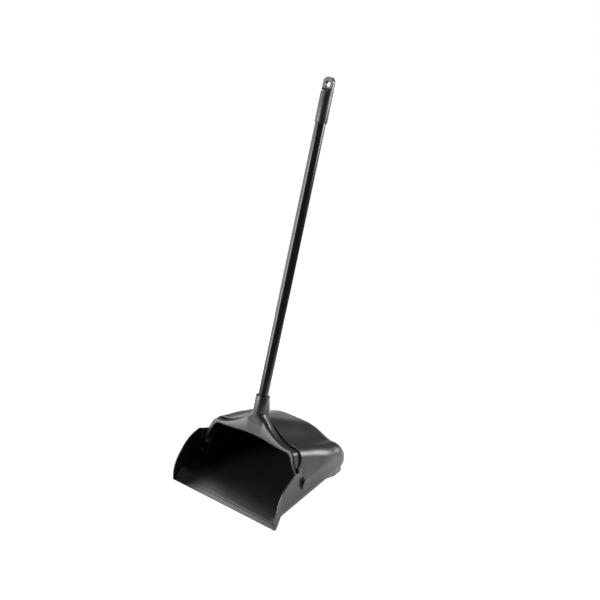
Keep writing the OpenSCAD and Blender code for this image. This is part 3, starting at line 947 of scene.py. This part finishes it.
@dataclass
class WearPads:
    """Flat pads under the rounded rear corners, ramped at the front."""

    length: float = 84.0
    width: float = 18.0
    outer_x: float = 151.0
    rear_y: float = 163.0
    ramp: float = 54.0
    height: float = 20.0
    edge: float = 0.8

    def build(self, finishes: Finishes, loaf: Work) -> None:
        """Builds and places both pads against the pan's outside."""
        for side in Side:
            outline = [
                (self.rear_y, 0.0), (self.rear_y, self.height),
                (self.rear_y - self.length, self.height), (self.rear_y - self.length + self.ramp, 0.0)]
            ends = sorted((side.value * self.outer_x, side.value * (self.outer_x - self.width)))
            work = Work().solid([[(x, y, z) for y, z in outline] for x in ends])
            work.round_off(work.bm.edges[:], self.edge, 2)
            work.work_on(loaf.copy(), Cut.TAKE)
            nodes = (f"wear_pad_{side.word}",)
            Piece(f"wear_pad_skid_{side.word}", Body.PAN, finishes.pad, nodes).place(work)


@dataclass
class RearWheels:
    """Rear wheels: a rounded tread, a recessed web and a hub, in a well of the pan."""

    diameter: float = 32.0
    width: float = 15.0
    x: float = 116.0
    y: float = 176.0
    z: float = 16.3
    bore_d: float = 5.12
    gap: float = 1.5
    head: float = 4.0
    well_wall_t: float = 2.5
    well_len: float = 120.0
    well_edge: float = 1.2
    well_ease: float = 0.6
    tread_r: float = 3.0
    hub_share: float = 0.42
    rim_share: float = 0.8
    web_share: float = 0.45
    edge: float = 0.5

    def well(self, side: Side, grow: float) -> Work:
        """The well's space, let out by grow."""
        half = self.width / 2 + self.gap + grow
        front = self.y - self.diameter / 2 - self.head - grow
        top = self.z + self.diameter / 2 + self.head + grow
        middle = side.value * self.x
        low, high = (middle - half, front, -OVER), (middle + half, front + self.well_len, top)
        return Work().box(low, high, self.well_edge + self.well_ease * grow)

    def build(self, finishes: Finishes, pan: Pan) -> None:
        """Builds and places both wheels."""
        r, w, e = self.diameter / 2, self.width / 2, self.edge
        web = self.width * self.web_share / 2
        hub, rim = r * self.hub_share, r * self.rim_share
        bore = self.bore_d / 2
        right: list[Point] = [(bore, w - e), (bore + e, w), (hub - e, w), (hub, w - e)]
        right += [(hub + e, web), (rim - e, web)]
        right += [(rim, w - e), (rim + e, w)]
        right += arc((r - self.tread_r, w - self.tread_r), self.tread_r, 90, 0, 6)
        profile = right + [(radius, -x) for radius, x in reversed(right)]
        for side, body in ((Side.LEFT, Body.LEFT_WHEEL), (Side.RIGHT, Body.RIGHT_WHEEL)):
            outward = [(radius, self.x + x) for radius, x in profile]
            work = pan.side_turned(side, outward, self.y, self.z, 96, True)
            Piece(f"wheel_tyre_{side.word}", body, finishes.wheel, (f"wheel_{side.word}",)).place(work)


@dataclass
class Yoke:
    """The arched yoke: a channel open to the rear with bored arm ends, a flared neck and an upright post."""

    lean: float = 20.0
    pivot_h: float = 61.0
    depth: float = 21.5
    front: float = -25.4
    handle_set: float = 13.4
    arch_h: float = 70.0
    arch_drop: float = 8.0
    arch_r: float = 22.0
    shoulder_h: float = 69.0
    shoulder_r: float = 14.0
    tuck_a: float = 22.0
    arm_x: float = 152.5
    arm_t: float = 9.0
    arm_swell: float = 4.0
    skin: float = 3.2
    arm_end_d: float = 25.0
    arm_bend: float = 38.0
    pocket_foot: float = 30.0
    pocket_draft: float = 0.25
    collar_d: float = 35.0
    collar_foot: float = 127.0
    collar_len: float = 41.0
    neck_h: float = 35.0
    neck_in: float = 1.0
    neck_out: float = 2.2
    neck_sink: float = 0.4
    neck_soft: float = 2.5
    neck_square: float = 0.58
    neck_spread: float = 0.55
    neck_steps: int = 18
    rib_t: float = 2.0
    rib_sink: float = 1.5
    rib_short: float = 1.0
    rib_shares: tuple[float, ...] = (-0.68, -0.5, -0.34, 0.34, 0.5, 0.68)
    tent_power: float = 1.85
    tent_foot_share: float = 0.35
    tent_steps: int = 22
    crown_share: float = 0.06
    post_cross: float = 160.0
    post_len: float = 66.0
    post_short: float = 10.0
    rim_clear: float = 0.6
    seat_clear: float = 0.2
    seat_len: float = 60.0
    bore_top: float = 220.0
    tube_bore_d: float = 25.4
    tube_foot: float = 108.0
    pin_bore_d: float = 12.06
    clip_seat_d: float = 21.2
    screw_room_d: float = 9.2
    screw_z: float = 147.5
    screw_reach: float = 40.0
    edge_r: float = 4.2
    neck_edge_r: float = 8.0
    inner_edge_r: float = 2.4

    @property
    def to_frame(self) -> Matrix:
        """From the yoke's own frame, with the handle along Z, to the shared one."""
        return Matrix.Translation((0, 0, self.pivot_h)) @ turn_x(-self.lean)

    @property
    def post_frame(self) -> Matrix:
        """From the upright post's own frame, with its top cross at the origin, to the shared one."""
        return self.to_frame @ Matrix.Translation((0, -self.handle_set, self.post_cross)) @ turn_x(self.lean)

    def on_handle(self, work: Work, z: float) -> Work:
        """Moves a shape turned about Z onto the handle's axis."""
        return work.move(self.to_frame @ Matrix.Translation((0, -self.handle_set, z)))

    def side_y(self, z: float) -> tuple[float, float]:
        """Front and rear of the yoke at a height, from its side view."""
        rear = self.front + self.depth
        r = self.arm_end_d / 2
        found = []
        for y, turn in ((self.front, -1), (rear, 1)):
            if z >= self.arm_bend:
                found.append(y)
                continue
            away = math.hypot(y, self.arm_bend)
            a = math.atan2(self.arm_bend, y) - turn * math.acos(r / away)
            touch = (r * math.cos(a), r * math.sin(a))
            if z > touch[1]:
                found.append(mix(touch[0], y, (z - touch[1]) / (self.arm_bend - touch[1])))
            else:
                found.append(turn * math.sqrt(max(0.0, r * r - z * z)))
        return found[0], found[1]

    def outlines(self) -> tuple[list[Point], list[Point]]:
        """Outer and inner edge of the right half in the front view, from the arm's end to the middle."""
        r = self.arm_end_d / 2
        tan = math.tan(math.radians(self.tuck_a))
        cos = math.cos(math.radians(self.tuck_a))
        level = self.shoulder_h - self.shoulder_r
        shoulder = (self.arm_x - self.shoulder_r / cos - level * tan, level)
        slope = tan + self.arm_swell / self.arch_h
        arch_a = math.degrees(math.atan(slope))
        low = self.arch_h - self.arch_drop
        inner_x = self.arm_x - self.arm_t
        bend_z = low - self.arch_r
        bend = (inner_x - bend_z * slope - self.arch_r / math.cos(math.radians(arch_a)), bend_z)
        round_z = [-r * math.cos(math.pi / 2 * i / 8) for i in range(8)]
        foot = self.pocket_foot
        sweep = arc(shoulder, self.shoulder_r, self.tuck_a, 90, 10)
        curve = arc(bend, self.arch_r, arch_a, 90, 10)
        outer = [(self.arm_x, z) for z in round_z]
        inner = [(inner_x, z) for z in round_z]
        outer += spread((self.arm_x, 0), (self.arm_x - foot * tan, foot), 8)
        inner += spread((inner_x, 0), (inner_x - foot * slope, foot), 8)
        outer += spread((self.arm_x - foot * tan, foot), sweep[0], 6) + sweep
        inner += spread((inner_x - foot * slope, foot), curve[0], 6) + curve
        tent_x = self.collar_d * self.tent_foot_share
        for i in range(1, self.tent_steps + 1):
            u = 1 - i / self.tent_steps
            v = mix(self.crown_share, 1.0, u)
            tent_z = mix(self.shoulder_h, self.collar_foot, (1 - u) ** self.tent_power)
            outer.append((mix(tent_x, shoulder[0], u), tent_z))
            inner.append((bend[0] * v, self.arch_h - self.arch_drop * (1 - math.cos(math.pi * v)) / 2))
        outer.append((0.0, self.collar_foot))
        inner.append((0.0, self.arch_h))
        return outer, inner

    def arch(self) -> Work:
        """The arch with its arms, rounded at the front and hollowed from the rear."""
        outer, inner = self.outlines()
        rows = []
        for (ox, oz), (ix, iz) in zip(outer, inner):
            front_o, rear_o = self.side_y(oz)
            front_i, rear_i = self.side_y(iz)
            span = math.hypot(ix - ox, iz - oz)
            high = mix(self.edge_r, self.neck_edge_r, blend((oz - self.shoulder_h) / self.neck_h))
            high, low = min(high, 0.5 * span), min(self.inner_edge_r, 0.3 * span)
            row = [(ox, rear_o, oz)]
            for across, deep in arc((high, high), high, 180, 270, 7) + arc((span - low, low), low, -90, 0, 5):
                t = across / span
                row.append((mix(ox, ix, t), mix(front_o, front_i, t) + deep, mix(oz, iz, t)))
            rows.append(row + [(ix, rear_i, iz)])
        rows += [[(-x, y, z) for x, y, z in row] for row in rows[-2::-1]]
        work = Work().solid(rows)
        bmesh.ops.remove_doubles(work.bm, verts=work.bm.verts[:], dist=0.01)
        work.face_out()
        rear = [
            f for f in work.bm.faces
            if f.normal.y > 0.9 and min(v.co.z for v in f.verts) > self.pocket_foot - 0.01]
        for thick, deep in ((self.skin, 0.0), (self.pocket_draft, self.skin - self.depth)):
            bmesh.ops.inset_region(
                work.bm, faces=rear, thickness=thick, depth=deep, use_even_offset=True, use_boundary=True)
        work.face_out()
        return work

    def ribs(self) -> Work:
        """Thin ribs across the channel."""
        outer, inner = self.outlines()
        work = Work()
        rear = self.front + self.depth - self.rib_short
        for share in self.rib_shares:
            x = share * self.arm_x
            top = self.passing(outer, 0, abs(x)) - self.rib_sink
            low = self.passing(inner, 0, abs(x)) + self.rib_sink
            work.box((x - self.rib_t / 2, self.front + self.rib_sink, low), (x + self.rib_t / 2, rear, top))
        return work

    @staticmethod
    def passing(outline: Sequence[Point], axis: int, value: float) -> float:
        """Where an outline passes a value, sought from the middle plane outwards.

        Args:
            outline: its points, from the arm's end to the middle.
            axis: 0 where the value is a distance from the middle, 1 where it is a height.
            value: what is passed.

        Returns:
            The other coordinate there.
        """
        for pair in zip(outline[-2::-1], outline[:0:-1]):
            low, high = sorted(pair, key=lambda point: point[axis])
            if low[axis] <= value <= high[axis]:
                share = (value - low[axis]) / max(high[axis] - low[axis], TINY)
                return mix(low[1 - axis], high[1 - axis], share)
        raise ValueError(f"the outline does not pass {value}")

    def neck(self, grow: float = 0.0) -> Work:
        """The flared neck under the collar."""
        foot = self.collar_foot - self.neck_h
        outer, _ = self.outlines()
        r = self.collar_d / 2
        rows = []
        for i in range(self.neck_steps + 1):
            t = i / self.neck_steps
            z = foot + t * self.neck_h
            form = blend(t)
            tent = self.passing(outer, 1, z) - mix(self.neck_in, -self.neck_out, blend(t / self.neck_spread))
            wide = (r + tent) / 2 + math.hypot((tent - r) / 2, self.neck_soft * (1 - form)) + grow
            deep = mix(self.depth / 2 - self.neck_sink, r, form) + grow
            mid = mix(self.front + self.depth / 2, -self.handle_set, form)
            p = mix(self.neck_square, 1.0, form)
            row = []
            for k in range(RING):
                c, s = math.cos(2 * math.pi * k / RING), math.sin(2 * math.pi * k / RING)
                x, y = (math.copysign(abs(v) ** p, v) for v in (c, s))
                row.append((wide * x, mid + deep * y, z))
            rows.append(row)
        return Work().solid(rows).move(self.to_frame)

    def post(self, grow: float = 0.0, edge: float = 1.0) -> Work:
        """The upright post behind the collar, or its space in the hood's rim where grow is given."""
        r = self.collar_d / 2 + grow
        top = self.post_len - self.post_short + 2 * grow
        work = Work().turn([(0, 0), (r, 0)] + arc((r - edge, top - edge), edge, 0, 90, 5) + [(0, top)])
        return work.move(self.post_frame @ Matrix.Translation((0, 0, -self.post_len - grow)))

    def bar(self, radius: float, low: float, high: float) -> Work:
        """A plain bar along the handle, to cut with."""
        return self.on_handle(Work().turn(rod(radius, low, high)), 0.0)

    def slot_tools(self) -> list[Work]:
        """What the hood's rim makes way for."""
        clear = self.rim_clear
        r = self.collar_d / 2 + clear
        gap = Work().box((-r, -self.collar_d, -self.post_len - clear), (r, 0, -self.post_short + clear))
        return [
            self.post(clear, 0.2), gap.move(self.post_frame), self.neck(clear),
            self.bar(r, self.collar_foot, self.collar_foot + self.collar_len)]

    def build(self, finishes: Finishes, pan: Pan) -> None:
        """Builds and places the yoke."""
        yoke = self.arch().move(self.to_frame)
        yoke.work_on(self.ribs().move(self.to_frame), Cut.JOIN)
        yoke.work_on(self.neck(), Cut.JOIN)
        post = self.post()
        seat = self.collar_d / 2 + self.seat_clear
        post.work_on(self.bar(seat, self.collar_foot, self.collar_foot + self.seat_len), Cut.TAKE)
        hole = Work().turn(rod(self.screw_room_d / 2, 0, self.screw_reach))
        hole.move(self.to_frame @ Matrix.Translation((0, 0, self.screw_z)) @ turn_x(-90))
        post.work_on(hole, Cut.TAKE)
        yoke.work_on(post, Cut.JOIN)
        yoke.work_on(self.bar(self.tube_bore_d / 2, self.tube_foot, self.bore_top), Cut.TAKE)
        inner = self.arm_x - self.arm_t
        for side in Side:
            yoke.work_on(pan.pivot_rod(side, self.pin_bore_d, inner - OVER, self.arm_x + OVER), Cut.TAKE)
            yoke.work_on(pan.pivot_rod(side, self.clip_seat_d, inner - OVER, inner), Cut.TAKE)
        Piece("yoke_arch_moulding", Body.YOKE, finishes.yoke, ("yoke",), 38.0).place(yoke)


@dataclass
class PivotPins:
    """Pivot pins: a broad dished head outside and a shank through the wall and the arm."""

    shank_d: float = 12.0
    head_d: float = 27.0
    head_t: float = 5.0
    head_x: float = 159.3
    inner_x: float = 140.0
    dimple_d: float = 6.0
    dimple_deep: float = 1.5
    dimple_edge: float = 0.5
    dimple_draft: float = 0.3
    back_edge: float = 0.3
    edge: float = 1.2

    def build(self, finishes: Finishes, pan: Pan) -> None:
        """Builds and places both pins."""
        s, h, d, e = self.shank_d / 2, self.head_d / 2, self.dimple_d / 2, self.edge
        end, back, face = self.inner_x, self.head_x, self.head_x + self.head_t
        deep = face - self.dimple_deep
        profile: list[Point] = [(0, end), (s - e, end), (s, end + e), (s, back)]
        profile += [(h - self.back_edge, back), (h, back + self.back_edge)]
        profile += arc((h - e, face - e), e, 0, 90, 5)
        profile += [(d + self.dimple_edge, face), (d, face - self.dimple_edge)]
        profile += [(d - self.dimple_draft, deep), (0, deep)]
        for side in Side:
            work = pan.side_turned(side, profile, 0, pan.pivot_h, 96)
            nodes = (f"pivot_pin_{side.word}",)
            Piece(f"pivot_pin_button_{side.word}", Body.YOKE, finishes.pin, nodes).place(work)


@dataclass
class Handle:
    """The handle: collar, tube, grip sleeve and hang cap, turned about one axis."""

    tube_d: float = 25.0
    tube_t: float = 1.2
    tube_len: float = 780.0
    screw_d: float = 4.06
    screw_seat: float = 16.9
    grip_d: float = 29.0
    grip_len: float = 62.0
    cap_len: float = 43.0
    cap_foot_h: float = 6.0
    cap_taper_h: float = 9.0
    tab_t: float = 10.0
    hole_d: float = 15.0
    hole_edge: float = 9.5
    plug_len: float = 26.0
    plug_clear: float = 0.2
    bore_edge: float = 0.2
    collar_ends: Point = (0.4, 1.6)
    tube_ends: Point = (0.3, 0.3)
    grip_ends: Point = (1.6, 0.4)
    foot_levels: tuple[float, ...] = (0.0, 0.6, 3.0)
    taper_steps: int = 6
    tab_steps: int = 4
    crown_turns: tuple[int, ...] = (8, 16, 24, 32, 40, 48, 56, 63, 69, 75, 80, 84)

    def ring(self, outer: float, inner: float, low: float, high: float, foot_r: float, top_r: float) -> Work:
        """A turned sleeve with rounded ends."""
        profile = [(inner, low), (outer - foot_r, low)]
        profile += arc((outer - foot_r, low + foot_r), foot_r, -90, 0, 5)[1:]
        profile += arc((outer - top_r, high - top_r), top_r, 0, 90, 5)
        profile += [(inner + self.bore_edge, high), (inner, high - self.bore_edge)]
        return Work().turn(profile, 96, True)

    @staticmethod
    def crosswise(yoke: Yoke, diameter: float, near: float, far: float, z: float) -> Work:
        """A rod across the handle, front to rear, to cut with."""
        return yoke.on_handle(Work().turn(rod(diameter / 2, near, far), 64).move(turn_x(-90)), z)

    def cap(self) -> Work:
        """The hang cap: round at its foot, drawn in to a flat tab with a round top."""
        r = self.grip_d / 2
        straight, drawn = self.cap_len - r, self.cap_foot_h + self.cap_taper_h
        levels = [*self.foot_levels, self.cap_foot_h]
        levels += [mix(self.cap_foot_h, drawn, (i + 1) / self.taper_steps) for i in range(self.taper_steps)]
        levels += [mix(drawn, straight, (i + 1) / self.tab_steps) for i in range(self.tab_steps)]
        levels += [straight + r * math.sin(math.radians(a)) for a in self.crown_turns]
        rows = []
        for z in levels:
            taper = blend((z - self.cap_foot_h) / self.cap_taper_h)
            deep = mix(r, self.tab_t / 2, taper)
            wide = math.sqrt(max(0.0, r * r - max(0.0, z - straight) ** 2))
            turns = [2 * math.pi * (i + 0.5) / RING for i in range(RING)]
            round_xy = [(r * math.cos(a), r * math.sin(a)) for a in turns]
            rows.append([(max(-wide, min(wide, x)), max(-deep, min(deep, y)), z) for x, y in round_xy])
        return Work().solid(rows)

    def build(self, finishes: Finishes, yoke: Yoke) -> None:
        """Builds and places the handle's pieces."""
        bore, wide = yoke.tube_bore_d / 2, self.tube_d / 2
        foot, end, top = yoke.collar_foot, yoke.collar_foot + yoke.collar_len, yoke.tube_foot + self.tube_len
        collar = yoke.on_handle(self.ring(yoke.collar_d / 2, bore, foot, end, *self.collar_ends), 0.0)
        seat, reach, level = self.screw_seat, yoke.screw_reach, yoke.screw_z
        collar.work_on(self.crosswise(yoke, yoke.screw_room_d, seat, reach, level), Cut.TAKE)
        tube = yoke.on_handle(self.ring(wide, wide - self.tube_t, yoke.tube_foot, top, *self.tube_ends), 0.0)
        for drilled in (collar, tube):
            drilled.work_on(self.crosswise(yoke, self.screw_d, 0, reach, level), Cut.TAKE)
        Piece("handle_collar_ring", Body.YOKE, finishes.collar, ("handle_collar",)).place(collar)
        Piece("handle_tube_drawn", Body.YOKE, finishes.tube, ("handle_tube",)).place(tube)
        grip = yoke.on_handle(self.ring(self.grip_d / 2, bore, top - self.grip_len, top, *self.grip_ends), 0.0)
        Piece("grip_sleeve_moulding", Body.YOKE, finishes.grip, ("grip_sleeve",)).place(grip)
        cap = yoke.on_handle(self.cap(), top)
        plug = yoke.bar(wide - self.tube_t - self.plug_clear, top - self.plug_len, top + 0.5)
        cap.work_on(plug, Cut.JOIN)
        hole_z = top + self.cap_len - self.hole_edge - self.hole_d / 2
        cap.work_on(self.crosswise(yoke, self.hole_d, -self.grip_d, self.grip_d, hole_z), Cut.TAKE)
        Piece("hang_cap_moulding", Body.YOKE, finishes.grip, ("hang_cap",), rounding=0.7).place(cap)


@dataclass
class HiddenHardware:
    """Small pieces that keep the shape of their solids and get a finish of their own."""

    steel: tuple[str, ...] = (
        "wheel_axle_left", "wheel_axle_right", "pivot_clip_left", "pivot_clip_right", "handle_screw")
    plastic: tuple[str, ...] = ("tube_plug",)

    def dress(self, finishes: Finishes, nodes: dict[str, bpy.types.Object]) -> None:
        """Gives the solids their materials."""
        for names, finish in ((self.steel, finishes.steel), (self.plastic, finishes.plug)):
            for name in names:
                mesh = nodes[name].data
                mesh.materials.clear()
                mesh.materials.append(finish.material())
                LOG.info("solid %s: finish %s", name, finish.name)


@dataclass
class Softbox:
    """A large soft lamp, placed by its direction from the dustpan."""

    name: str
    direction: Triple
    away: float
    width: float
    height: float
    power: float

    def build(self, target: Vector) -> None:
        """Adds the lamp."""
        lamp = bpy.data.lights.new(self.name, "AREA")
        lamp.shape = "RECTANGLE"
        lamp.size = self.width
        lamp.size_y = self.height
        lamp.energy = self.power
        made = put(self.name, lamp)
        out = Vector(self.direction).normalized()
        made.location = target + out * self.away
        made.rotation_euler = out.to_track_quat("Z", "Y").to_euler()


@dataclass
class Studio:
    """Pale floor, soft lamps and the camera at the photograph's viewing angle."""

    floor_r: float = 0.9
    floor_drop: float = 0.0004
    floor_glow: float = 0.92
    floor_mirrored: float = 2.1
    # Glow of the floor in reflections by distance from the middle: painted shadow near the dustpan, a painted
    # ring of light further out.
    painted_floor_shade_and_light: tuple[Point, ...] = ((0.19, 0.34), (0.28, 0.75), (0.4, 1.0), (0.65, 0.2))
    floor_tone: float = 0.3
    sky_glossy: float = 0.1
    sky_fill: float = 0.04
    camera_at: Triple = (1.190, -1.382, 1.367)
    camera_yaw: float = 37.1
    camera_pitch: float = 25.6
    camera_lens: float = 54.0
    camera_sensor: float = 36.0
    target: Triple = (0.0, 0.03, 0.15)
    boxes: list[Softbox] = field(default_factory=lambda: [
        Softbox("front_left_box", (-0.54, -0.78, 0.36), 2.2, 1.0, 1.7, 55.0),
        Softbox("left_box", (-0.95, -0.20, 0.22), 2.2, 1.6, 1.8, 30.0),
        Softbox("rear_right_box", (0.63, 0.69, 0.36), 2.2, 1.3, 1.1, 58.0),
        Softbox("rear_left_box", (-0.56, 0.45, 0.70), 2.2, 1.3, 1.0, 21.0),
    ])

    @staticmethod
    def seen(mill: Recipe, glossy: "Value | float") -> Value:
        """Share of white that a ray sees: camera and transmission rays all, glossy rays a part."""
        path = mill.tree.nodes.new("ShaderNodeLightPath")
        names = ("Is Camera Ray", "Is Glossy Ray", "Is Transmission Ray")
        camera, mirrored, through = (Value(mill, path.outputs[name]) for name in names)
        return camera + glossy * mirrored + through

    def floor(self) -> None:
        """Adds the round floor: pale where it is seen, and mirrored in the pieces with a painted shadow near
        the dustpan and a painted ring of light round it.
        """
        work = bmesh.new()
        bmesh.ops.create_circle(work, cap_ends=True, segments=96, radius=self.floor_r)
        bmesh.ops.translate(work, vec=(0, self.target[1], -self.floor_drop), verts=work.verts[:])
        mesh = bpy.data.meshes.new("studio_floor")
        work.to_mesh(mesh)
        work.free()
        made = bpy.data.materials.new("pale_floor")
        made.use_nodes = True
        mill = Recipe(made.node_tree)
        cloud = mill.noise(6.0, 2.0)
        tone = mill.tint(cloud, (self.floor_tone,) * 3, (self.floor_tone * 1.04,) * 3)
        matt = mill.node("ShaderNodeBsdfDiffuse", {}, {"Color": tone})
        # Mirrored in the pieces, the floor is dimmer near the dustpan as painted shadow and brightest in a
        # painted ring of light round it.
        away = mill.node("ShaderNodeVectorMath", {"operation": "LENGTH"}, {0: mill.place()}, "Value")
        painted_shade_and_light = self.floor_mirrored * mill.node("ShaderNodeValToRGB", {"stops": self.painted_floor_shade_and_light}, {0: away})
        strength = self.seen(mill, painted_shade_and_light) * self.floor_glow
        glow = mill.node("ShaderNodeEmission", {}, {"Color": (1, 1, 1, 1), "Strength": strength})
        both = mill.node("ShaderNodeAddShader", {}, {0: matt, 1: glow})
        mill.node("ShaderNodeOutputMaterial", {}, {"Surface": both})
        mesh.materials.append(made)
        floor = put("studio_floor", mesh)

    def sky(self) -> None:
        """Sets the white surround: white where it is seen, dim where it lights or is mirrored."""
        world = bpy.data.worlds.new("studio_surround")
        bpy.context.scene.world = world
        world.use_nodes = True
        mill = Recipe(world.node_tree)
        seen = self.seen(mill, self.sky_glossy)
        light = seen + (1.0 - seen) * self.sky_fill
        glow = mill.node("ShaderNodeBackground", {}, {"Color": (1, 1, 1, 1), "Strength": light})
        mill.node("ShaderNodeOutputWorld", {}, {"Surface": glow})

    def camera(self) -> None:
        """Adds the camera."""
        lens = bpy.data.cameras.new("photo_camera")
        lens.lens = self.camera_lens
        lens.sensor_width = self.camera_sensor
        lens.sensor_fit = "HORIZONTAL"
        made = put("photo_camera", lens)
        made.location = self.camera_at
        made.rotation_euler = (math.radians(90 - self.camera_pitch), 0.0, math.radians(self.camera_yaw))
        bpy.context.scene.camera = made

    def build(self) -> None:
        """Builds the studio."""
        self.floor()
        self.sky()
        self.camera()
        for box in self.boxes:
            box.build(Vector(self.target))
        bpy.context.scene.view_settings.view_transform = "Standard"


def main() -> None:
    """Builds the dustpan's pieces on the frame, then the studio."""
    logging.basicConfig(level=logging.INFO, format="%(message)s")
    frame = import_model()
    finishes = Finishes()
    pan, wheels, yoke = Pan(), RearWheels(), Yoke()
    loaf = pan.build(finishes, wheels, yoke.slot_tools())
    WearPads().build(finishes, loaf)
    wheels.build(finishes, pan)
    yoke.build(finishes, pan)
    PivotPins().build(finishes, pan)
    Handle().build(finishes, yoke)
    HiddenHardware().dress(finishes, frame["nodes"])
    Studio().build()


if __name__ == "__main__":
    main()
